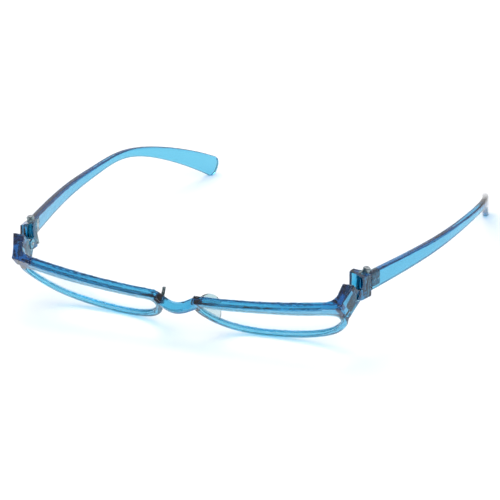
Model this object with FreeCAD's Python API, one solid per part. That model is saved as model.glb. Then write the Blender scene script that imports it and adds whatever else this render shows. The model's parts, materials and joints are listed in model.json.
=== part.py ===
"""Folding reading glasses with a tilting front: every piece as its own solid.

The model is built in two frames. The front is drawn upright in the lens frame
(X to the wearer's left, Y back from the lenses, Z up) and then leaned forward
by LEAN about X. The arms are drawn in the arm frame, in which they run
straight back along +Y. The right-hand pieces (x > 0) are built and the
left-hand ones are their mirror images. Last, everything is laid on its feet:
the lower rims and the tips of the arms stand on z = 0. Lengths are millimetres.
"""
import FreeCAD, Part
import math
import os

V = FreeCAD.Vector

# Driving dimensions -------------------------------------------------------
LEAN = 48.0                 # lean of the front against the arms, degrees
FRONT_RADIUS = 380.0        # wrap of the front, seen from above
HALF_WIDTH = 66.0           # from the nose to the front's outer corner
BAR_DEPTH = 3.1
BAR_HEIGHT = 3.0
BAR_TOP = 0.0               # brow line at the nose
BAR_RISE = 0.0006           # brow line: BAR_TOP + BAR_RISE * x * x
BAR_GAP = 7.6               # half the gap in the bar where the bridge takes over
RIM_DEPTH = 2.7
RIM_WIDTH = 2.3
CELL_TOP = -1.1             # upper edge of a lens cell, inside the brow bar
CELL_SAMPLES = 72           # points on an outline drawn parallel to the cell's edge
LENS_THICKNESS = 1.2
GROOVE_DEPTH = 0.6

END_TOP = 3.0
END_BOTTOM = -7.8
END_BACK = 15.45
END_OUTER = 68.2            # outer side at the back of the end piece
CORNER_OUTER = 3.0

PIVOT_Y = 15.6              # tilt axis in the lens frame
PIVOT_Z = -5.6
PIVOT_GAP = 0.15            # half the gap between the closed faces
NOSE_RADIUS = 2.2           # rounded nose of the link about the tilt axis
NOSE_CLEARANCE = 0.3
EYE_RADIUS = 2.0
LEAF_X = (64.65, 65.65)     # tilt leaf, across the end piece
LEAF_FRONT = 8.8            # front and top edges of the tilt leaf, lens frame
LEAF_TOP = -1.6
LEAF_CORNER = 1.2
LEAF_END_GAP = 0.4          # the leaf's plate stops this far inside the end piece
LEAF_NECK = 1.4             # half the height of the neck that carries the eye
LEAF_PIN_POINT = V(64.0, 10.6, -4.0)
LEAF_PIN_LENGTH = 2.2
SLOT_X = (64.25, 65.75)     # slot in the link for the leaf's eye and washer
WASHER_X = (64.30, 64.60)
TILT_PIN_RADIUS = 0.6
TILT_PIN_X = (63.4, 67.2)

AXIS_POINT = V(66.6, 20.8, 10.7)    # fold axis, arm frame
AXIS_LEAN = 12.0                    # the fold axis leans out at the top, degrees
KNUCKLE_RADIUS = 1.4
KNUCKLE_RELIEF = 1.65
KNUCKLE_HALF = 5.2          # half the stack of knuckles
KNUCKLE_MIDDLE = 2.1        # half the arm's middle knuckle
KNUCKLE_PLAY = 0.12
SCREW_RADIUS = 0.7
SCREW_HEAD_RADIUS = 1.15
SCREW_HEAD_HEIGHT = 0.7
SCREW_SLOT = 0.3            # width and depth of the driver slot
RUNNING_CLEARANCE = 0.04

LINK_BOTTOM = 5.6
LINK_TOP = 16.0
LINK_INNER = 63.4
LINK_REAR = 20.6
LINK_OUTER = (68.2, 68.8, 69.7)     # outer side at the nose, at the closed face and at the rear
LINK_KNUCKLE = (66.3, 65.0)         # inner side beside the knuckles, rear to front
LINK_KNUCKLE_FRONT = 19.2
LINK_SHOULDER = 18.2
LINK_NOSE_FRONT = 4.0       # the block's plan starts this far in front of the tilt axis
LINK_EDGE_ROUND = 0.8
LINK_TOP_SLOPE = 19.0       # the block's top falls outwards, degrees
LINK_LEAF_X = 65.8          # inner face of the link's leaf
LINK_LEAF_FRONT = 17.2
LINK_LEAF_Z = (6.4, 15.0)
LINK_RIVET_Y = 18.3
LINK_RIVET_Z = (8.1, 13.6)
LINK_RIVET_LENGTH = 2.2
LEAF_THICKNESS = 0.9
RIVET_RADIUS = 0.45
RIVET_HEAD_RADIUS = 0.8
RIVET_HEAD = 0.3

ARM_HEADING = 9.1           # degrees outwards at the hinge
ARM_LEAF_LENGTH = 7.2
ARM_LEAF_Z = (8.2, 13.2)
ARM_RIVET_PLACES = (3.5, 5.9)       # along the arm's leaf
ARM_RIVET_LENGTH = 1.8
ARM_RIVET_SINK = 0.3

PAD_THICKNESS = 1.3
PAD_REACH = 6.6
PAD_HALF_LENGTH = 6.2
PAD_SPLAY = 8.0
PAD_FLARE = 22.0
PAD_ROOT = V(9.3, 2.4, -12.0)

# An arm's outer upper edge, with its height and thickness at each station.
ARM_STATIONS = [
    (V(69.6, 21.0, 14.3), 7.2, 3.0),
    (V(73.3, 44.0, 14.1), 6.2, 2.9),
    (V(76.0, 68.0, 13.8), 4.9, 2.8),
    (V(76.4, 92.0, 13.5), 3.6, 2.6),
    (V(74.6, 114.0, 12.9), 3.4, 2.5),
    (V(66.9, 136.0, 8.2), 5.5, 2.5),
    (V(57.4, 160.0, -2.0), 8.0, 2.3),
]
ARM_CORNER = 0.32           # corner radius as a share of the thickness
ARM_SECTIONS = 25
TIP_RADIUS = 3.4            # rounded corners of an arm's tip

# Closed outer edge of a lens cell: along under the brow, down at the hinge and back by the nose.
CELL_EDGE = [(11.5, CELL_TOP), (20.0, CELL_TOP), (36.0, CELL_TOP), (52.0, CELL_TOP), (60.5, CELL_TOP),
             (64.0, -2.6), (65.2, -6.4), (62.8, -13.2), (56.5, -19.8), (46.5, -23.4), (33.0, -24.3),
             (20.5, -22.7), (12.8, -18.4), (8.5, -12.2), (6.9, -6.4), (8.0, -2.6)]

# The bridge, from the nose outwards: x, front, back, top, bottom.
BRIDGE_SECTIONS = [(0.0, -2.6, 1.0, -2.8, -6.4), (4.6, -1.6, 2.2, -2.1, -6.0), (8.8, 0.1, 3.2, -0.1, -5.0)]

SKY = 60.0                  # longer than any cut needs


# Small helpers ------------------------------------------------------------
def front_y(x, depth=0.0):
    """Depth of the wrapped front surface at x."""
    return FRONT_RADIUS - math.sqrt(FRONT_RADIUS ** 2 - x * x) + depth


def box(x, y, z):
    """Box between pairs of limits."""
    return Part.makeBox(x[1] - x[0], y[1] - y[0], z[1] - z[0], V(x[0], y[0], z[0]))


def rod(start, axis, length, radius):
    """Cylinder from a point along an axis."""
    return Part.makeCylinder(radius, length, start, axis)


def face_of(edges):
    """Flat face inside a closed run of edges."""
    return Part.Face(Part.Wire(edges))


def outline_face(corners):
    """Flat face with straight sides between corners."""
    return face_of([line(a, b) for a, b in zip(corners, corners[1:] + corners[:1])])


def line(a, b):
    """Straight edge."""
    return Part.LineSegment(a, b).toShape()


def arc(a, b, c):
    """Edge on the circle through three points."""
    return Part.Arc(a, b, c).toShape()


def shell(depth):
    """Layer of the wrapped front between its outer surface and a depth behind it."""
    centre = V(0, FRONT_RADIUS, -SKY)
    up = V(0, 0, 1)
    outer = Part.makeCylinder(FRONT_RADIUS, 2 * SKY, centre, up)
    return outer.cut(Part.makeCylinder(FRONT_RADIUS - depth, 2 * SKY, centre, up))


def rounded_section(corner, across, down, height, thickness, radius):
    """Closed rounded rectangle hung from its upper outer corner."""
    def at(a, d):
        return corner + across * a + down * d
    bow = radius * (1 - math.sqrt(0.5))
    t, h, r = thickness, height, radius
    return Part.Wire([
        line(at(r, 0), at(t - r, 0)),
        arc(at(t - r, 0), at(t - bow, bow), at(t, r)),
        line(at(t, r), at(t, h - r)),
        arc(at(t, h - r), at(t - bow, h - bow), at(t - r, h)),
        line(at(t - r, h), at(r, h)),
        arc(at(r, h), at(bow, h - bow), at(0, h - r)),
        line(at(0, h - r), at(0, r)),
        arc(at(0, r), at(bow, bow), at(r, 0)),
    ])


def lens_to_arm(shape):
    """Lean a shape drawn in the upright lens frame."""
    out = shape.copy()
    out.rotate(V(0, 0, 0), V(1, 0, 0), LEAN)
    return out


def mirrored(shape):
    """The left-hand twin of a right-hand shape."""
    return shape.mirror(V(0, 0, 0), V(1, 0, 0))


def pivot_point():
    """Tilt axis in the arm frame."""
    a = math.radians(LEAN)
    return V(0, PIVOT_Y * math.cos(a) - PIVOT_Z * math.sin(a), PIVOT_Y * math.sin(a) + PIVOT_Z * math.cos(a))


def fold_axis():
    """Direction of the right-hand fold axis in the arm frame."""
    a = math.radians(AXIS_LEAN)
    return V(math.sin(a), 0, math.cos(a))


def on_fold_axis(t):
    """Point of the right-hand fold axis, t along it from its middle."""
    return AXIS_POINT + fold_axis() * t


def fold_rod(t0, t1, radius):
    """Cylinder about the right-hand fold axis."""
    return rod(on_fold_axis(t0), fold_axis(), t1 - t0, radius)


# The front ----------------------------------------------------------------
def closed_curve(points):
    """Smooth closed curve through points."""
    curve = Part.BSplineCurve()
    curve.interpolate(Points=points, PeriodicFlag=True)
    return curve


def cell_face(inset):
    """Right-hand lens cell, drawn in by an inset."""
    edge = closed_curve([V(x, 0, z) for x, z in CELL_EDGE])
    first, last = edge.FirstParameter, edge.LastParameter
    points = []
    for i in range(CELL_SAMPLES):
        mark = first + (last - first) * i / CELL_SAMPLES
        along = edge.tangent(mark)[0]
        points.append(edge.value(mark) + V(along.z, 0, -along.x) * inset)
    return face_of([closed_curve(points).toShape()])


def through(face, y0=-20.0, y1=30.0):
    """Push a flat XZ face through the front."""
    out = face.copy()
    out.translate(V(0, y0, 0))
    return out.extrude(V(0, y1 - y0, 0))


def brow_bar():
    """Bar over both lenses, with a rising brow line."""
    rise = BAR_RISE * HALF_WIDTH ** 2
    left = V(-HALF_WIDTH, 0, BAR_TOP + rise)
    right = V(HALF_WIDTH, 0, BAR_TOP + rise)
    drop = V(0, 0, -BAR_HEIGHT - rise)
    face = face_of([arc(left, V(0, 0, BAR_TOP), right), line(right, right + drop),
                    line(right + drop, left + drop), line(left + drop, left)])
    gap = box((-BAR_GAP, BAR_GAP), (-SKY, SKY), (-SKY, SKY))
    return through(face).common(shell(BAR_DEPTH)).cut(gap)


def bridge():
    """Saddle over the nose, bowed forwards between the two cells."""
    rows = [(-x, f, b, t, u) for x, f, b, t, u in reversed(BRIDGE_SECTIONS[1:])] + BRIDGE_SECTIONS
    wires = [rounded_section(V(x, front, top), V(0, 1, 0), V(0, 0, -1), top - under, back - front, 0.9)
             for x, front, back, top, under in rows]
    return Part.makeLoft(wires, True, False)


def end_piece():
    """Right-hand end piece, turned back from the front, with its pocket and pivot relief."""
    outer = HALF_WIDTH
    skin = 1.0
    a = V(58.5, front_y(58.5) - skin, 0)
    b = V(outer - CORNER_OUTER - 1.5, front_y(outer - CORNER_OUTER) - 0.35, 0)
    bend = V(outer - 0.8, front_y(outer) + 0.65, 0)
    c = V(outer + 0.15, front_y(outer) + CORNER_OUTER, 0)
    d = V(END_OUTER, END_BACK, 0)
    e = V(63.9, END_BACK, 0)
    f = V(63.2, 10.8, 0)
    g = V(60.6, front_y(60.6, BAR_DEPTH) - 0.1, 0)
    h = V(58.5, front_y(58.5, BAR_DEPTH) - skin, 0)
    plan = face_of([line(a, b), arc(b, bend, c), line(c, d), line(d, e), line(e, f),
                    arc(f, V(62.45, 9.2, 0), g), line(g, h), line(h, a)])
    plan.translate(V(0, 0, END_BOTTOM))
    block = plan.extrude(V(0, 0, END_TOP - END_BOTTOM))
    relief = rod(V(0, PIVOT_Y, PIVOT_Z), V(1, 0, 0), SKY * 2, NOSE_RADIUS + NOSE_CLEARANCE)
    return block.cut(relief).common(shell(FRONT_RADIUS / 2))


def tilt_leaf():
    """Steel leaf in the end piece, ending in the eye on the tilt axis (lens frame)."""
    x0, x1 = LEAF_X
    thick = x1 - x0
    across = V(1, 0, 0)
    pivot = V(x0, PIVOT_Y, PIVOT_Z)
    front = LEAF_FRONT
    top = LEAF_TOP
    back = END_BACK - LEAF_END_GAP
    bottom = PIVOT_Z - LEAF_NECK
    corner = LEAF_CORNER
    bow = corner * (1 - math.sqrt(0.5))
    plate = face_of([
        line(V(x0, front, bottom + corner), V(x0, front, top - corner)),
        arc(V(x0, front, top - corner), V(x0, front + bow, top - bow), V(x0, front + corner, top)),
        line(V(x0, front + corner, top), V(x0, back, top)),
        line(V(x0, back, top), V(x0, back, bottom)),
        line(V(x0, back, bottom), V(x0, front + corner, bottom)),
        arc(V(x0, front + corner, bottom), V(x0, front + bow, bottom + bow), V(x0, front, bottom + corner)),
    ]).extrude(across * thick)
    eye = rod(pivot, across, thick, EYE_RADIUS)
    neck = box((x0, x1), (PIVOT_Y - EYE_RADIUS - LEAF_NECK, PIVOT_Y), (bottom, PIVOT_Z + LEAF_NECK))
    upper = rod(pivot, across, thick, NOSE_RADIUS + NOSE_CLEARANCE).cut(eye).cut(neck)
    bore = rod(pivot, across, thick, TILT_PIN_RADIUS + RUNNING_CLEARANCE)
    return plate.cut(upper).fuse([eye, neck]).cut(bore).removeSplitter()


def leaf_pin():
    """Pin that holds the tilt leaf in the end piece (lens frame)."""
    return rod(LEAF_PIN_POINT, V(1, 0, 0), LEAF_PIN_LENGTH, RIVET_RADIUS)


def front_frame():
    """The moulded front in one piece (lens frame)."""
    rims = through(cell_face(0)).common(shell(RIM_DEPTH))
    solid = brow_bar()
    for part in (bridge(), rims, mirrored(rims), end_piece(), mirrored(end_piece())):
        solid = solid.fuse(part)
    opening = through(cell_face(RIM_WIDTH))
    lens = lens_blank()
    tilt = tilt_leaf().fuse(leaf_pin())
    for part in (opening, lens, tilt):
        solid = solid.cut(part).cut(mirrored(part))
    return solid


def lens_blank():
    """Right-hand lens, let into the groove of its cell (lens frame)."""
    outline = cell_face(RIM_WIDTH - GROOVE_DEPTH)
    middle = (RIM_DEPTH - LENS_THICKNESS) / 2
    layer = shell(middle + LENS_THICKNESS).cut(shell(middle))
    return through(outline).common(layer)


def nose_pad(front):
    """Right-hand nose pad, bonded behind the inner rim (lens frame)."""
    splay = math.radians(PAD_SPLAY)
    flare = math.radians(PAD_FLARE)
    back = V(math.sin(splay), math.cos(splay), 0)
    down = V(math.sin(flare), 0, -math.cos(flare))
    face_normal = back.cross(down)
    face_normal.normalize()
    half = PAD_HALF_LENGTH

    def at(a, b):
        return PAD_ROOT + back * a + down * b - face_normal * (PAD_THICKNESS / 2)
    outline = face_of([
        line(at(0, half), at(0, -half)),
        line(at(0, -half), at(1.8, -half)),
        arc(at(1.8, -half), at(PAD_REACH, 0), at(1.8, half)),
        line(at(1.8, half), at(0, half)),
    ])
    plate = outline.extrude(face_normal * PAD_THICKNESS)
    pieces = plate.cut(front).Solids
    return max(pieces, key=lambda s: s.Volume)


# The link between front and arm (arm frame) --------------------------------
def link_block(hardware):
    """Right-hand moulded link: nose on the tilt axis, knuckle side towards the arm."""
    p = pivot_point()
    face = p.y + PIVOT_GAP
    start = p.y - LINK_NOSE_FRONT
    outer_nose, outer_face, outer_rear = LINK_OUTER
    inner_rear, inner_front = LINK_KNUCKLE
    corners = [V(LINK_INNER, start, LINK_BOTTOM), V(outer_nose, start, LINK_BOTTOM),
               V(outer_face, face, LINK_BOTTOM), V(outer_rear, LINK_REAR, LINK_BOTTOM),
               V(inner_rear, LINK_REAR, LINK_BOTTOM), V(inner_front, LINK_KNUCKLE_FRONT, LINK_BOTTOM),
               V(LINK_INNER, LINK_SHOULDER, LINK_BOTTOM)]
    column = outline_face(corners).extrude(V(0, 0, LINK_TOP - LINK_BOTTOM))
    nose = rod(V(0, p.y, p.z), V(1, 0, 0), SKY * 2, NOSE_RADIUS)
    behind = box((0, SKY * 2), (face, SKY), (LINK_BOTTOM, LINK_TOP))
    solid = column.common(nose.fuse(behind))
    upper_front = [e for e in solid.Edges if on_line(e, face, LINK_TOP)]
    solid = solid.makeFillet(LINK_EDGE_ROUND, upper_front)
    slot = rod(V(SLOT_X[0], p.y, p.z), V(1, 0, 0), SLOT_X[1] - SLOT_X[0], EYE_RADIUS + NOSE_CLEARANCE)
    lid = box((0, SKY), (-SKY, SKY), (0, SKY))
    lid.rotate(V(0, 0, 0), V(0, 1, 0), LINK_TOP_SLOPE)
    lid.translate(V(LINK_INNER, 0, LINK_TOP))
    return solid.cut(lid).cut(slot).cut(fold_rod(-SKY, SKY, KNUCKLE_RELIEF)).cut(hardware)


def through_points(points):
    """Smooth curve through points, with its parameter running from 0 to 1."""
    steps = [(b - a).Length for a, b in zip(points, points[1:])]
    marks = [sum(steps[:i]) / sum(steps) for i in range(len(points))]
    curve = Part.BSplineCurve()
    curve.interpolate(Points=points, Parameters=marks)
    return curve


def on_line(edge, y, z):
    """Whether an edge runs across the object at a given y and z."""
    c = edge.CenterOfMass
    return abs(c.y - y) < 0.05 and abs(c.z - z) < 0.05


def tilt_pin():
    """Right-hand pin on the tilt axis."""
    p = pivot_point()
    return rod(V(TILT_PIN_X[0], p.y, p.z), V(1, 0, 0), TILT_PIN_X[1] - TILT_PIN_X[0], TILT_PIN_RADIUS)


def tilt_washer():
    """Right-hand friction washer beside the leaf's eye."""
    p = pivot_point()
    start = V(WASHER_X[0], p.y, p.z)
    thick = WASHER_X[1] - WASHER_X[0]
    ring = rod(start, V(1, 0, 0), thick, EYE_RADIUS - 0.2)
    return ring.cut(rod(start, V(1, 0, 0), thick, TILT_PIN_RADIUS))


def link_leaf():
    """Steel leaf in the link, with the upper and lower knuckles."""
    top = fold_rod(KNUCKLE_MIDDLE + KNUCKLE_PLAY, KNUCKLE_HALF, KNUCKLE_RADIUS)
    bottom = fold_rod(-KNUCKLE_HALF, -KNUCKLE_MIDDLE - KNUCKLE_PLAY, KNUCKLE_RADIUS)
    plate = box((LINK_LEAF_X, LINK_LEAF_X + LEAF_THICKNESS), (LINK_LEAF_FRONT, AXIS_POINT.y), LINK_LEAF_Z)
    middle = fold_rod(-KNUCKLE_MIDDLE - KNUCKLE_PLAY, KNUCKLE_MIDDLE + KNUCKLE_PLAY, KNUCKLE_RELIEF)
    leaf = plate.cut(middle).fuse([top, bottom])
    upper_bore = fold_rod(0, KNUCKLE_HALF + 1, SCREW_RADIUS + RUNNING_CLEARANCE)
    lower_bore = fold_rod(-KNUCKLE_HALF - 1, 0, SCREW_RADIUS)
    return leaf.cut(upper_bore).cut(lower_bore).cut(link_rivets()).removeSplitter()


def link_rivets():
    """Pair of rivets through the link's leaf."""
    return Part.makeCompound([rivet(V(LINK_LEAF_X, LINK_RIVET_Y, z), V(1, 0, 0), LINK_RIVET_LENGTH)
                              for z in LINK_RIVET_Z])


def rivet(start, axis, length):
    """Rivet with a low round head at its start."""
    head = rod(start - axis * RIVET_HEAD, axis, RIVET_HEAD, RIVET_HEAD_RADIUS)
    return rod(start, axis, length, RIVET_RADIUS).fuse(head).removeSplitter()


def fold_screw():
    """Screw on the fold axis, with a slotted head on top."""
    shank = fold_rod(-KNUCKLE_HALF - 0.3, KNUCKLE_HALF, SCREW_RADIUS)
    head = fold_rod(KNUCKLE_HALF, KNUCKLE_HALF + SCREW_HEAD_HEIGHT, SCREW_HEAD_RADIUS)
    top = on_fold_axis(KNUCKLE_HALF + SCREW_HEAD_HEIGHT).z
    half = SCREW_SLOT / 2
    slot = box((0, SKY * 2), (AXIS_POINT.y - half, AXIS_POINT.y + half), (top - SCREW_SLOT, SKY))
    return shank.fuse(head).cut(slot).removeSplitter()


# The arm (arm frame) --------------------------------------------------------
def arm_direction():
    """Level direction of the arm where it meets the hinge."""
    a = math.radians(ARM_HEADING)
    return V(math.sin(a), math.cos(a), 0)


def arm_inner_point():
    """Point of the arm's inner surface beside the fold axis."""
    along = arm_direction()
    outer, _, thickness = ARM_STATIONS[0]
    inward = V(-along.y, along.x, 0)
    start = outer + inward * thickness
    return start + along * ((AXIS_POINT.y - start.y) / along.y)


def arm_leaf():
    """Steel leaf in the arm, with the middle knuckle."""
    along = arm_direction()
    outward = V(along.y, -along.x, 0)
    start = arm_inner_point()
    z0, z1 = ARM_LEAF_Z
    start.z = z0
    end = start + along * ARM_LEAF_LENGTH
    corners = [start, end, end + outward * LEAF_THICKNESS, start + outward * LEAF_THICKNESS]
    plate = outline_face(corners).extrude(V(0, 0, z1 - z0))
    knuckle = fold_rod(-KNUCKLE_MIDDLE, KNUCKLE_MIDDLE, KNUCKLE_RADIUS)
    upper = fold_rod(KNUCKLE_MIDDLE, SKY, KNUCKLE_RELIEF)
    lower = fold_rod(-SKY, -KNUCKLE_MIDDLE, KNUCKLE_RELIEF)
    bore = fold_rod(-KNUCKLE_HALF, KNUCKLE_HALF, SCREW_RADIUS + RUNNING_CLEARANCE)
    leaf = plate.cut(upper).cut(lower).fuse(knuckle).cut(bore)
    return leaf.cut(arm_rivets()).removeSplitter()


def arm_rivets():
    """Pair of rivets through the arm's leaf."""
    along = arm_direction()
    outward = V(along.y, -along.x, 0)
    start = arm_inner_point()
    middle = (ARM_LEAF_Z[0] + ARM_LEAF_Z[1]) / 2
    start.z = middle
    places = [start + along * s + outward * ARM_RIVET_SINK for s in ARM_RIVET_PLACES]
    return Part.makeCompound([rivet(q, outward, ARM_RIVET_LENGTH) for q in places])


def tip_trim(corner, across, along, down, thickness):
    """Waste outside a rounded corner of an arm's tip; down leads from the corner into the arm."""
    r = TIP_RADIUS
    bow = r * (1 - math.sqrt(0.5))
    spare = thickness

    def at(a, d):
        return corner - across * spare + along * a + down * d
    outline = face_of([
        line(at(-r, 0), at(-r, -spare)),
        line(at(-r, -spare), at(spare, -spare)),
        line(at(spare, -spare), at(spare, r)),
        line(at(spare, r), at(0, r)),
        arc(at(0, r), at(-bow, bow), at(-r, 0)),
    ])
    return outline.extrude(across * (thickness + 2 * spare))


def arm(hardware):
    """Right-hand arm: a loft that thins towards the ear and widens to a paddle tip."""
    path = through_points([corner for corner, _, _ in ARM_STATIONS])
    sizes = through_points([V(corner.y, height, thickness) for corner, height, thickness in ARM_STATIONS])
    wires = []
    for i in range(ARM_SECTIONS):
        share = i / (ARM_SECTIONS - 1)
        corner = path.value(share)
        along = path.tangent(share)[0]
        size = sizes.value(share)
        across = V(-along.y, along.x, 0)
        across.normalize()
        down = across.cross(along)
        wires.append(rounded_section(corner, across, down, size.y, size.z, ARM_CORNER * size.z))
    blank = Part.makeLoft(wires, True, False)
    blank = blank.cut(tip_trim(corner, across, along, down, size.z))
    blank = blank.cut(tip_trim(corner + down * size.y, across, along, -down, size.z))
    return blank.cut(fold_rod(-KNUCKLE_HALF * 2, KNUCKLE_HALF * 2, KNUCKLE_RELIEF)).cut(hardware)


# The whole object -----------------------------------------------------------
def right_hand_pieces():
    """Right-hand pieces in the arm frame, by name, with the front and its lens-frame twin."""
    front = front_frame()
    pieces = {
        "lens": lens_to_arm(lens_blank()),
        "nose_pad": lens_to_arm(nose_pad(front)),
        "tilt_leaf": lens_to_arm(tilt_leaf().cut(leaf_pin())),
        "tilt_leaf_pin": lens_to_arm(leaf_pin()),
        "tilt_pin": tilt_pin(),
        "tilt_washer": tilt_washer(),
        "link_leaf": link_leaf(),
        "link_rivets": link_rivets(),
        "fold_screw": fold_screw(),
        "temple_leaf": arm_leaf(),
        "temple_rivets": arm_rivets(),
    }
    link_hardware = pieces["link_leaf"].fuse(link_rivets()).fuse(tilt_pin())
    pieces["link_block"] = link_block(link_hardware)
    pieces["temple"] = arm(pieces["temple_leaf"].fuse(arm_rivets()))
    return pieces, lens_to_arm(front)


def all_pieces():
    """Every piece by node name, in the arm frame."""
    right, front = right_hand_pieces()
    nodes = {"front_frame": front}
    for name, shape in right.items():
        nodes["right_" + name] = shape
        nodes["left_" + name] = mirrored(shape)
    return nodes


def low_point(shape, near, far):
    """Lowest point of a shape between two depths, as (y, z)."""
    slab = shape.common(box((-SKY * 2, SKY * 2), (near, far), (-SKY, SKY)))
    points = slab.tessellate(0.02)[0]
    return min(((q.y, q.z) for q in points), key=lambda q: q[1])


def standing(nodes):
    """Turn and shift that put rims and arm tips on z = 0, with x = 0, y = 0 in the middle of the box."""
    turn = 0.0
    rear = ARM_STATIONS[4][0].y
    for _ in range(3):
        rim = low_point(turned(nodes["front_frame"], turn), -SKY, SKY)
        tip = low_point(turned(nodes["right_temple"], turn), rear, rear + SKY)
        turn -= math.degrees(math.atan2(tip[1] - rim[1], tip[0] - rim[0]))
    whole = Part.makeCompound([turned(s, turn) for s in nodes.values()])
    limits = whole.optimalBoundingBox(False, False)
    return turn, V(0, -(limits.YMin + limits.YMax) / 2, -limits.ZMin)


def turned(shape, degrees):
    """A shape turned about the X axis."""
    out = shape.copy()
    out.rotate(V(0, 0, 0), V(1, 0, 0), degrees)
    return out


def build():
    """Every piece standing on its feet, with the turn and shift that put it there."""
    nodes = all_pieces()
    turn, shift = standing(nodes)
    placed = {}
    for name, shape in nodes.items():
        out = turned(shape, turn)
        out.translate(shift)
        placed[name] = out
    return placed, turn, shift


def main():
    """Write one STEP file for each piece."""
    os.makedirs("parts", exist_ok=True)
    placed, _, _ = build()
    for name, shape in placed.items():
        shape.exportStep(os.path.join("parts", name + ".step"))


if __name__ == "__main__":
    main()
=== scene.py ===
"""Folding reading glasses: the visual model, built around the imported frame.

Each sub-assembly is a class: the front with its lenses and pads, the two links
with their tilt pins and fold screws, and the two arms with their leaves. The
moulded plastic pieces are soft-edged castings of the frame's solids, in a clear
blue plastic that deepens with its thickness. Screws and rivets are turned parts.
Sizes are in metres, unless a name ends in mm.
"""

import json
import logging
import math
from dataclasses import dataclass, field, replace
from enum import Enum

import bmesh
import bpy
from mathutils import Matrix, Vector

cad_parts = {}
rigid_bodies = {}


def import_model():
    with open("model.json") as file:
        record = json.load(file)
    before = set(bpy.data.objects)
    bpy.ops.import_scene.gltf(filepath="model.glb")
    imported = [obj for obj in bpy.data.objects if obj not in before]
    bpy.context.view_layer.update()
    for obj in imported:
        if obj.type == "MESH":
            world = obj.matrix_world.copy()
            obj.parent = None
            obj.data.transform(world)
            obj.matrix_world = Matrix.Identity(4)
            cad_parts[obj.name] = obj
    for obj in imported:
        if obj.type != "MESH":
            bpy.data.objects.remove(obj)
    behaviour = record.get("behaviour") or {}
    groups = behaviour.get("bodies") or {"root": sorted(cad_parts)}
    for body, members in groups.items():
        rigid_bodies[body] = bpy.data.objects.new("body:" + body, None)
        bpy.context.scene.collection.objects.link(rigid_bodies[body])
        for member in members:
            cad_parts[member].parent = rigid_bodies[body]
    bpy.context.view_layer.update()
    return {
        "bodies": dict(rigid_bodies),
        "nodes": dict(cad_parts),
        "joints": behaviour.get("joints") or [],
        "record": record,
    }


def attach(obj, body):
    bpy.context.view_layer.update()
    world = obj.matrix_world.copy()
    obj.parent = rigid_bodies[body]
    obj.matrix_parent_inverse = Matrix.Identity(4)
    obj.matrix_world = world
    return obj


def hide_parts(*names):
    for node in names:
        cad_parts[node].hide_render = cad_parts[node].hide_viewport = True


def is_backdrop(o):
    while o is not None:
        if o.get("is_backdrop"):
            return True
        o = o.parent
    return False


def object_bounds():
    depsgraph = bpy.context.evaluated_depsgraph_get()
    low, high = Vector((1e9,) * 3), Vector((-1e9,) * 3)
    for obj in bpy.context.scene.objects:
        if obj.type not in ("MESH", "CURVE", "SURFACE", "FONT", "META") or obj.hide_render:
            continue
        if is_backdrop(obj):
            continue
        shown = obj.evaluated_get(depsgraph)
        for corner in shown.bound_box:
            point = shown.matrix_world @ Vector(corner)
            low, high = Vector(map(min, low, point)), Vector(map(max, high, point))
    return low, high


log = logging.getLogger("reading_glasses")

MM = 0.001
LEAN_DEG = 48.0                       # lean of the front against the arms
PIVOT_MM = (15.6, -5.6)               # tilt axis in the upright front: back, up
SAME_POINT = 1e-7                     # vertices nearer than this are one vertex
SENSOR_MM = 36.0                      # width of the camera's sensor


class Side(Enum):
    """The two sides of the glasses, with the sign of their x."""

    LEFT = -1
    RIGHT = 1

    @property
    def prefix(self) -> str:
        """Start of this side's node, body and piece names."""
        return self.name.lower() + "_"


# Frames of reference ---------------------------------------------------------
@dataclass(frozen=True)
class ArmFrame:
    """Where the level arm frame lies in the row frame.

    Attributes:
        turn: turn about X, in radians.
        shift: the arm frame's origin in the row frame, in metres.
    """

    turn: float
    shift: Vector

    @classmethod
    def from_joints(cls, joints: list) -> "ArmFrame":
        """Read the arm frame off the tilt axis and the right-hand fold axis.

        Args:
            joints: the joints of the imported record.

        Returns:
            The arm frame.
        """
        by_name = {joint["name"]: joint for joint in joints}
        fold = Vector(by_name["right_temple_fold"]["axis"])
        turn = math.atan2(-fold.y, fold.z)
        lean = math.radians(LEAN_DEG)
        back, up = (value * MM for value in PIVOT_MM)
        pivot = Vector((0.0, back * math.cos(lean) - up * math.sin(lean),
                        back * math.sin(lean) + up * math.cos(lean)))
        placed = Vector(by_name["right_front_tilt"]["pos_m"])
        placed.x = 0.0
        return cls(turn, placed - Matrix.Rotation(turn, 3, "X") @ pivot)

    def direction(self, vector: Vector) -> Vector:
        """Turn a direction of the arm frame into the row frame."""
        return Matrix.Rotation(self.turn, 3, "X") @ vector

    def point(self, millimetres: tuple) -> Vector:
        """Place a point of the arm frame, in millimetres, in the row frame, in metres."""
        return self.direction(Vector(millimetres) * MM) + self.shift


# Finishes ----------------------------------------------------------------------
def new_material(name: str) -> tuple:
    """Make an empty node material.

    Args:
        name: the material's name.

    Returns:
        The material, its node tree and its output node.
    """
    material = bpy.data.materials.new(name)
    material.use_nodes = True
    tree = material.node_tree
    tree.nodes.clear()
    return material, tree, tree.nodes.new("ShaderNodeOutputMaterial")


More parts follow.
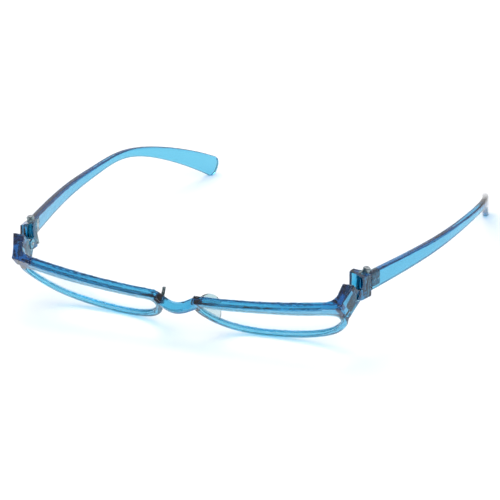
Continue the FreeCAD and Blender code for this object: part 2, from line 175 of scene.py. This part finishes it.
@dataclass(frozen=True)
class Relief:
    """Fine unevenness of a surface, from noise on the piece's own coordinates.

    Attributes:
        scale: fineness along X, Y and Z.
        detail: octaves of the noise.
        strength: share of the height that shows.
        height: of the unevenness, in metres.
    """

    scale: tuple
    detail: float
    strength: float
    height: float

    def apply(self, tree: bpy.types.NodeTree, body: bpy.types.ShaderNode) -> bpy.types.ShaderNode:
        """Roughen a shader's surface.

        Args:
            tree: the material's node tree.
            body: the shader.

        Returns:
            The noise node, for other uses of the same pattern.
        """
        place = tree.nodes.new("ShaderNodeTexCoord")
        stretch = tree.nodes.new("ShaderNodeMapping")
        stretch.inputs["Scale"].default_value = self.scale
        noise = tree.nodes.new("ShaderNodeTexNoise")
        noise.inputs["Scale"].default_value = 1.0
        noise.inputs["Detail"].default_value = self.detail
        bump = tree.nodes.new("ShaderNodeBump")
        bump.inputs["Strength"].default_value = self.strength
        bump.inputs["Distance"].default_value = self.height
        tree.links.new(place.outputs["Object"], stretch.inputs["Vector"])
        tree.links.new(stretch.outputs["Vector"], noise.inputs["Vector"])
        tree.links.new(noise.outputs["Fac"], bump.inputs["Height"])
        tree.links.new(bump.outputs["Normal"], body.inputs["Normal"])
        return noise


@dataclass(frozen=True)
class ClearPlastic:
    """Polished transparent plastic whose colour deepens with thickness.

    Attributes:
        name: the material's name.
        surface: colour that each surface passes.
        depth_colour: colour that the body of the plastic tends to.
        density: absorption per metre.
        shade: colour of the light it lets fall behind it.
        roughness: of the polished surface.
        ior: refractive index.
        ripple: the faint flow lines left by moulding, if there are any.
    """

    name: str
    surface: tuple
    depth_colour: tuple
    density: float
    shade: tuple
    roughness: float = 0.02
    ior: float = 1.49
    ripple: Relief | None = None

    def build(self) -> bpy.types.Material:
        """Build the material.

        Returns:
            The material.
        """
        material, tree, output = new_material(self.name)
        nodes, links = tree.nodes, tree.links
        body = nodes.new("ShaderNodeBsdfPrincipled")
        body.inputs["Base Color"].default_value = (*self.surface, 1.0)
        body.inputs["Roughness"].default_value = self.roughness
        body.inputs["IOR"].default_value = self.ior
        body.inputs["Transmission Weight"].default_value = 1.0
        if self.ripple:
            self.ripple.apply(tree, body)
        path = nodes.new("ShaderNodeLightPath")
        clear = nodes.new("ShaderNodeBsdfTransparent")
        clear.inputs["Color"].default_value = (*self.shade, 1.0)
        mix = nodes.new("ShaderNodeMixShader")
        links.new(path.outputs["Is Shadow Ray"], mix.inputs[0])
        links.new(body.outputs["BSDF"], mix.inputs[1])
        links.new(clear.outputs["BSDF"], mix.inputs[2])
        links.new(mix.outputs["Shader"], output.inputs["Surface"])
        if self.density > 0.0:
            volume = nodes.new("ShaderNodeVolumeAbsorption")
            volume.inputs["Color"].default_value = (*self.depth_colour, 1.0)
            volume.inputs["Density"].default_value = self.density
            links.new(volume.outputs["Volume"], output.inputs["Volume"])
        return material


@dataclass(frozen=True)
class Steel:
    """Stainless steel, drawn or turned.

    Attributes:
        name: the material's name.
        colour: of the metal.
        roughness: mean roughness.
        grain: the brushed or turned grain.
        spread: share by which the grain varies the roughness.
        brushing: how far highlights stretch across the grain.
    """

    name: str
    colour: tuple
    roughness: float
    grain: Relief
    spread: float = 0.3
    brushing: float = 0.3

    def build(self) -> bpy.types.Material:
        """Build the material.

        Returns:
            The material.
        """
        material, tree, output = new_material(self.name)
        nodes, links = tree.nodes, tree.links
        body = nodes.new("ShaderNodeBsdfPrincipled")
        body.inputs["Base Color"].default_value = (*self.colour, 1.0)
        body.inputs["Metallic"].default_value = 1.0
        body.inputs["Anisotropic"].default_value = self.brushing
        spread = nodes.new("ShaderNodeMapRange")
        spread.inputs["To Min"].default_value = self.roughness * (1.0 - self.spread)
        spread.inputs["To Max"].default_value = self.roughness * (1.0 + self.spread)
        links.new(self.grain.apply(tree, body).outputs["Fac"], spread.inputs["Value"])
        links.new(spread.outputs["Result"], body.inputs["Roughness"])
        links.new(body.outputs["BSDF"], output.inputs["Surface"])
        return material


@dataclass(frozen=True)
class Matte:
    """Plain material of one colour.

    Attributes:
        name: the material's name.
        colour: of the surface.
        roughness: of the surface.
    """

    name: str
    colour: tuple
    roughness: float

    def build(self) -> bpy.types.Material:
        """Build the material.

        Returns:
            The material.
        """
        material, tree, output = new_material(self.name)
        body = tree.nodes.new("ShaderNodeBsdfPrincipled")
        body.inputs["Base Color"].default_value = (*self.colour, 1.0)
        body.inputs["Roughness"].default_value = self.roughness
        tree.links.new(body.outputs["BSDF"], output.inputs["Surface"])
        return material


class Finishes:
    """Every finish of the glasses, built once."""

    def __init__(self) -> None:
        """Build the materials."""
        flow = Relief(scale=(60.0, 350.0, 350.0), detail=2.0, strength=0.3, height=0.0004)
        blue = ClearPlastic("clear_blue_plastic", surface=(0.86, 0.955, 0.99),
                            depth_colour=(0.01, 0.70, 0.85), density=690.0,
                            shade=(0.88, 0.94, 0.965), ripple=flow)
        smoke = ClearPlastic("clear_smoke_plastic", surface=(0.92, 0.97, 0.98),
                             depth_colour=(0.42, 0.64, 0.66), density=850.0,
                             shade=(0.8, 0.9, 0.93))
        lens = ClearPlastic("clear_lens", surface=(0.99, 0.995, 1.0),
                            depth_colour=(0.8, 0.95, 0.9), density=0.0,
                            shade=(0.96, 0.98, 0.985), roughness=0.0)
        drawn = Relief(scale=(900.0, 900.0, 9000.0), detail=3.0, strength=0.4, height=0.00002)
        turned = Relief(scale=(2500.0, 2500.0, 2500.0), detail=3.0, strength=0.4, height=0.00001)
        self.frame_plastic = blue.build()
        self.arm_plastic = replace(blue, name="clear_blue_arm_plastic",
                                   ripple=replace(flow, scale=(350.0, 60.0, 350.0))).build()
        self.pad_plastic = smoke.build()
        self.lens = lens.build()
        self.leaf_steel = Steel("drawn_steel", (0.24, 0.30, 0.31), 0.28, drawn).build()
        self.screw_steel = Steel("turned_steel", (0.38, 0.41, 0.43), 0.2, turned).build()
        self.nylon = Matte("natural_nylon", (0.82, 0.85, 0.86), 0.45).build()
        self.floor = Matte("pale_floor", (0.93, 0.93, 0.94), 0.9).build()


# Making and dressing pieces -----------------------------------------------------
def link_mesh(name: str, mesh: bpy.types.Mesh) -> bpy.types.Object:
    """Put a mesh into the scene as an object at the origin.

    Args:
        name: the piece's name.
        mesh: its mesh, with the piece's place in it.

    Returns:
        The piece.
    """
    piece = bpy.data.objects.new(name, mesh)
    bpy.context.scene.collection.objects.link(piece)
    return piece


def from_bmesh(name: str, build: bmesh.types.BMesh) -> bpy.types.Object:
    """Turn a bmesh into a smooth-shaded piece.

    Args:
        name: the piece's name.
        build: the bmesh, which is freed.

    Returns:
        The new piece.
    """
    mesh = bpy.data.meshes.new(name)
    build.to_mesh(mesh)
    build.free()
    mesh.shade_smooth()
    return link_mesh(name, mesh)


def dress(piece: bpy.types.Object, material: bpy.types.Material) -> bpy.types.Object:
    """Give a piece one material.

    Args:
        piece: the piece.
        material: its only material.

    Returns:
        The piece.
    """
    piece.data.materials.clear()
    piece.data.materials.append(material)
    log.info("%s is made of %s", piece.name, material.name)
    return piece


def fit_out(piece: bpy.types.Object, body: str, slot: str, *nodes: str) -> bpy.types.Object:
    """Let a piece ride on a body in place of frame nodes, and log the record's material slot.

    Args:
        piece: the piece, in place.
        body: the body it moves with.
        slot: the record's material slot, which is only logged.
        nodes: the nodes it stands for.

    Returns:
        The piece.
    """
    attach(piece, body)
    if nodes:
        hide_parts(*nodes)
    log.info("%s rides on %s, finish %s, %d faces",
             piece.name, body, slot, len(piece.data.polygons))
    return piece


@dataclass(frozen=True)
class Casting:
    """How a moulded piece is cast from a solid of the frame, with soft edges.

    Attributes:
        voxel: fineness of the casting.
        rounds: how many times its surface is relaxed.
        swell: how far the relaxed surface is let out again.
        pull: share of the way that a vertex moves towards its neighbours in one round.
    """

    voxel: float
    rounds: int
    swell: float = 0.0
    pull: float = 0.5

    def cast(self, node: bpy.types.Object, name: str) -> bpy.types.Object:
        """Cast a piece.

        Args:
            node: the frame's solid, which is left as it is.
            name: the new piece's name.

        Returns:
            The piece.
        """
        merged = bmesh.new()
        merged.from_mesh(node.data)
        bmesh.ops.remove_doubles(merged, verts=merged.verts, dist=SAME_POINT)
        draft = from_bmesh(name + "_draft", merged)
        remesh = draft.modifiers.new("cast", "REMESH")
        remesh.mode = "VOXEL"
        remesh.voxel_size = self.voxel
        relax = draft.modifiers.new("relax", "SMOOTH")
        relax.factor = self.pull
        relax.iterations = self.rounds
        if self.swell > 0.0:
            swell = draft.modifiers.new("swell", "DISPLACE")
            swell.mid_level = 0.0
            swell.strength = self.swell
        bpy.context.view_layer.update()
        finished = draft.evaluated_get(bpy.context.evaluated_depsgraph_get())
        mesh = bpy.data.meshes.new_from_object(finished)
        bpy.data.objects.remove(draft)
        mesh.name = name
        mesh.shade_smooth()
        return link_mesh(name, mesh)


# Sub-assemblies -----------------------------------------------------------------
@dataclass
class FrontAssembly:
    """The front: moulding, lenses, nose pads and the two tilt leaves.

    Attributes:
        finishes: the built materials.
        body: the body that the front is.
        moulding: how the front is cast.
        pad: how a nose pad is cast.
    """

    frame: dict
    finishes: Finishes
    body: str = "front"
    moulding: Casting = Casting(0.00026, 5, 0.00012)
    pad: Casting = Casting(0.00014, 14)

    def build(self) -> None:
        """Build and dress every piece of the front."""
        nodes = self.frame["nodes"]
        front = self.moulding.cast(nodes["front_frame"], "front_moulding")
        dress(front, self.finishes.frame_plastic)
        fit_out(front, self.body, "frame_plastic", "front_frame")
        for side in Side:
            pad_node = side.prefix + "nose_pad"
            pad = self.pad.cast(nodes[pad_node], side.prefix + "pad_moulding")
            fit_out(dress(pad, self.finishes.pad_plastic), self.body, "pad_plastic", pad_node)
            dress(nodes[side.prefix + "lens"], self.finishes.lens)
            dress(nodes[side.prefix + "tilt_leaf"], self.finishes.leaf_steel)
            dress(nodes[side.prefix + "tilt_leaf_pin"], self.finishes.screw_steel)


@dataclass
class FoldScrew:
    """A slotted hinge screw turned about the fold axis.

    Attributes:
        shank: radius of the shank.
        head: radius of the head.
        head_height: height of the head.
        half: half the stack of knuckles under the head.
        slot_width: of the driver slot.
        slot_depth: of the driver slot.
        chamfer: at the head's edges.
        threads: ridges at the foot.
        pitch: from one ridge to the next.
        root: radius between two ridges, as a share of the shank's.
        point: radius at the very foot, as a share of the shank's.
        lead: height of the bevel at the foot.
        foot: how far the screw stands out below the knuckles.
        turns: steps round the axis.
        sharp_deg: edges turning by more than this stay sharp.
    """

    shank: float = 0.0007
    head: float = 0.00108
    head_height: float = 0.0005
    half: float = 0.0052
    slot_width: float = 0.00034
    slot_depth: float = 0.00025
    chamfer: float = 0.00018
    threads: int = 3
    pitch: float = 0.00025
    root: float = 0.86
    point: float = 0.75
    lead: float = 0.0001
    foot: float = 0.0003
    turns: int = 48
    sharp_deg: float = 35.0

    def profile(self) -> list:
        """Work out the screw's outline.

        Returns:
            Radius and height of its corners, from the foot to the top of the head.
        """
        foot = -self.half - self.foot
        points = [(0.0, foot), (self.shank * self.point, foot), (self.shank, foot + self.lead)]
        for i in range(self.threads):
            z = foot + 2 * self.lead + i * self.pitch
            points += [(self.shank * self.root, z), (self.shank, z + self.pitch / 2)]
        top = self.half + self.head_height
        edge = self.chamfer
        points += [(self.shank, self.half), (self.head - edge / 2, self.half),
                   (self.head, self.half + edge / 2), (self.head, top - edge),
                   (self.head - edge * 0.4, top - edge * 0.3), (self.head - edge * 1.3, top)]
        return points

    def turned(self) -> bmesh.types.BMesh:
        """Turn the outline about Z.

        Returns:
            The screw's skin, open at the top of the head.
        """
        bm = bmesh.new()
        verts = [bm.verts.new((radius, 0.0, height)) for radius, height in self.profile()]
        edges = [bm.edges.new(pair) for pair in zip(verts, verts[1:])]
        bmesh.ops.spin(bm, geom=verts + edges, cent=(0, 0, 0), axis=(0, 0, 1), angle=math.tau,
                       steps=self.turns, use_merge=True, use_duplicate=False)
        bmesh.ops.remove_doubles(bm, verts=bm.verts, dist=SAME_POINT)
        return bm

    def close_with_slot(self, bm: bmesh.types.BMesh) -> None:
        """Close the head and sink the driver slot across it.

        Args:
            bm: the turned screw, open at the top.
        """
        rim = [edge for edge in bm.edges if edge.is_boundary]
        strip = list(bmesh.ops.edgeloop_fill(bm, edges=rim)["faces"])
        for way in (1, -1):
            offset = way * self.slot_width / 2
            geom = (strip + list({edge for face in strip for edge in face.edges})
                    + list({vert for face in strip for vert in face.verts}))
            cut = bmesh.ops.bisect_plane(bm, geom=geom, plane_co=(0, offset, 0),
                                         plane_no=(0, way, 0))
            faces = [part for part in cut["geom"] if isinstance(part, bmesh.types.BMFace)]
            strip = [face for face in faces if (face.calc_center_median().y - offset) * way < 0]
        sunk = bmesh.ops.extrude_face_region(bm, geom=strip)["geom"]
        bmesh.ops.delete(bm, geom=strip, context="FACES_ONLY")
        floor = [part for part in sunk if isinstance(part, bmesh.types.BMVert)]
        bmesh.ops.translate(bm, verts=floor, vec=(0, 0, -self.slot_depth))

    def build(self, name: str, place: Matrix) -> bpy.types.Object:
        """Turn the screw and cut its slot.

        Args:
            name: the piece's name.
            place: puts the screw's own Z axis on the fold axis.

        Returns:
            The screw.
        """
        bm = self.turned()
        self.close_with_slot(bm)
        bmesh.ops.recalc_face_normals(bm, faces=bm.faces)
        bmesh.ops.transform(bm, matrix=place, verts=bm.verts)
        screw = from_bmesh(name, bm)
        screw.data.set_sharp_from_angle(angle=math.radians(self.sharp_deg))
        return screw


def along_axis(joint: dict) -> Matrix:
    """Find the placement that puts Z on a joint's axis.

    Args:
        joint: the joint, from the record.

    Returns:
        The placement, with the axis's upward end up and the origin at the joint.
    """
    axis = Vector(joint["axis"]).normalized()
    if axis.z < 0.0:
        axis = -axis
    turn = axis.to_track_quat("Z", "Y").to_matrix().to_4x4()
    return Matrix.Translation(Vector(joint["pos_m"])) @ turn


@dataclass
class LinkAssembly:
    """One link between front and arm: block, leaf, tilt pin, washer, rivets and fold screw.

    Attributes:
        finishes: the built materials.
        side: which side it is on.
        block: how the moulded block is cast.
        screw: the fold screw.
    """

    frame: dict
    finishes: Finishes
    side: Side
    block: Casting = Casting(0.00012, 10)
    screw: FoldScrew = field(default_factory=FoldScrew)

    def build(self) -> None:
        """Build and dress every piece of the link."""
        nodes = self.frame["nodes"]
        prefix = self.side.prefix
        body = prefix + "link"
        block = self.block.cast(nodes[prefix + "link_block"], prefix + "link_moulding")
        dress(block, self.finishes.frame_plastic)
        fit_out(block, body, "frame_plastic", prefix + "link_block")
        joint = next(j for j in self.frame["joints"] if j["name"] == prefix + "temple_fold")
        screw = self.screw.build(prefix + "hinge_screw", along_axis(joint))
        fit_out(dress(screw, self.finishes.screw_steel), body, "screw_steel", prefix + "fold_screw")
        dress(nodes[prefix + "link_leaf"], self.finishes.leaf_steel)
        dress(nodes[prefix + "tilt_washer"], self.finishes.nylon)
        for name in ("tilt_pin", "link_rivets"):
            dress(nodes[prefix + name], self.finishes.screw_steel)


@dataclass
class ArmAssembly:
    """One arm: the moulding with the leaf and the rivets in it.

    Attributes:
        finishes: the built materials.
        side: which side it is on.
        moulding: how the arm is cast.
    """

    frame: dict
    finishes: Finishes
    side: Side
    moulding: Casting = Casting(0.00022, 10)

    def build(self) -> None:
        """Build and dress every piece of the arm."""
        nodes = self.frame["nodes"]
        prefix = self.side.prefix
        body = prefix + "temple"
        arm = self.moulding.cast(nodes[body], prefix + "arm_moulding")
        fit_out(dress(arm, self.finishes.arm_plastic), body, "frame_plastic", body)
        dress(nodes[prefix + "temple_leaf"], self.finishes.leaf_steel)
        dress(nodes[prefix + "temple_rivets"], self.finishes.screw_steel)


# Studio ---------------------------------------------------------------------------
@dataclass(frozen=True)
class Panel:
    """One soft light panel, facing the glasses.

    Attributes:
        name: the lamp's name.
        place: where it hangs.
        size: its width and height.
        power: in watts.
    """

    name: str
    place: tuple
    size: tuple
    power: float

    def hang(self) -> None:
        """Put the panel into the scene."""
        data = bpy.data.lights.new(self.name, "AREA")
        data.shape = "RECTANGLE"
        data.size, data.size_y = self.size
        data.energy = self.power
        lamp = bpy.data.objects.new(self.name, data)
        bpy.context.scene.collection.objects.link(lamp)
        lamp.location = self.place
        lamp.rotation_euler = Vector(self.place).to_track_quat("Z", "Y").to_euler()


@dataclass
class Studio:
    """Pale floor, soft lights and the camera.

    Attributes:
        arm_frame: places the camera's settings, which are in the arm frame.
        finishes: the built materials.
        floor_size: side of the floor.
        camera_mm: where the camera stands.
        look: direction in which it looks.
        up: direction that is up in its picture.
        lens_mm: focal length.
        view_end: how far the camera sees.
        room_colour: colour of the even light of the room.
        room_light: its strength.
        panels: the soft light panels.
    """

    arm_frame: ArmFrame
    finishes: Finishes
    floor_size: float = 12.0
    camera_mm: tuple = (885.4, -1839.3, 739.0)
    look: tuple = (-0.39726, 0.85531, -0.33250)
    up: tuple = (-0.13839, 0.30201, 0.94321)
    lens_mm: float = 432.68
    view_end: float = 50.0
    room_colour: tuple = (0.97, 0.98, 1.0)
    room_light: float = 0.85
    panels: tuple = (
        Panel("key_panel", place=(-0.5, 0.35, 1.1), size=(0.9, 0.9), power=6.0),
        Panel("front_panel", place=(0.5, -1.0, 0.9), size=(0.7, 0.5), power=3.0),
        Panel("side_strip", place=(1.1, 0.2, 0.5), size=(0.15, 1.0), power=2.0),
    )

    def build(self) -> None:
        """Build floor, world, lights and camera."""
        self.floor()
        self.world()
        for panel in self.panels:
            panel.hang()
        self.camera()

    def floor(self) -> None:
        """Lay the floor under the feet of the glasses."""
        low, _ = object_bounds()
        bm = bmesh.new()
        bmesh.ops.create_grid(bm, x_segments=1, y_segments=1, size=self.floor_size / 2,
                              matrix=Matrix.Translation((0.0, 0.0, low[2])))
        ground = dress(from_bmesh("floor", bm), self.finishes.floor)
        ground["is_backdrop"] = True

    def world(self) -> None:
        """Light the whole room evenly."""
        world = bpy.data.worlds.new("soft_room")
        bpy.context.scene.world = world
        world.use_nodes = True
        background = world.node_tree.nodes["Background"]
        background.inputs["Color"].default_value = (*self.room_colour, 1.0)
        background.inputs["Strength"].default_value = self.room_light
        bpy.context.scene.view_settings.view_transform = "Standard"

    def camera(self) -> None:
        """Set up the camera."""
        data = bpy.data.cameras.new("camera")
        data.sensor_width = SENSOR_MM
        data.lens = self.lens_mm
        data.clip_end = self.view_end
        camera = bpy.data.objects.new("camera", data)
        bpy.context.scene.collection.objects.link(camera)
        back = -self.arm_frame.direction(Vector(self.look)).normalized()
        right = self.arm_frame.direction(Vector(self.up)).cross(back).normalized()
        up = back.cross(right)
        turn = Matrix((right, up, back)).transposed().to_4x4()
        camera.matrix_world = Matrix.Translation(self.arm_frame.point(self.camera_mm)) @ turn
        bpy.context.scene.camera = camera


def main() -> None:
    """Build the glasses and their studio."""
    logging.basicConfig(level=logging.INFO, format="%(message)s")
    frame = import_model()
    finishes = Finishes()
    arm_frame = ArmFrame.from_joints(frame["joints"])
    FrontAssembly(frame, finishes).build()
    for side in Side:
        LinkAssembly(frame, finishes, side).build()
        ArmAssembly(frame, finishes, side).build()
    Studio(arm_frame, finishes).build()


if __name__ == "__main__":
    main()
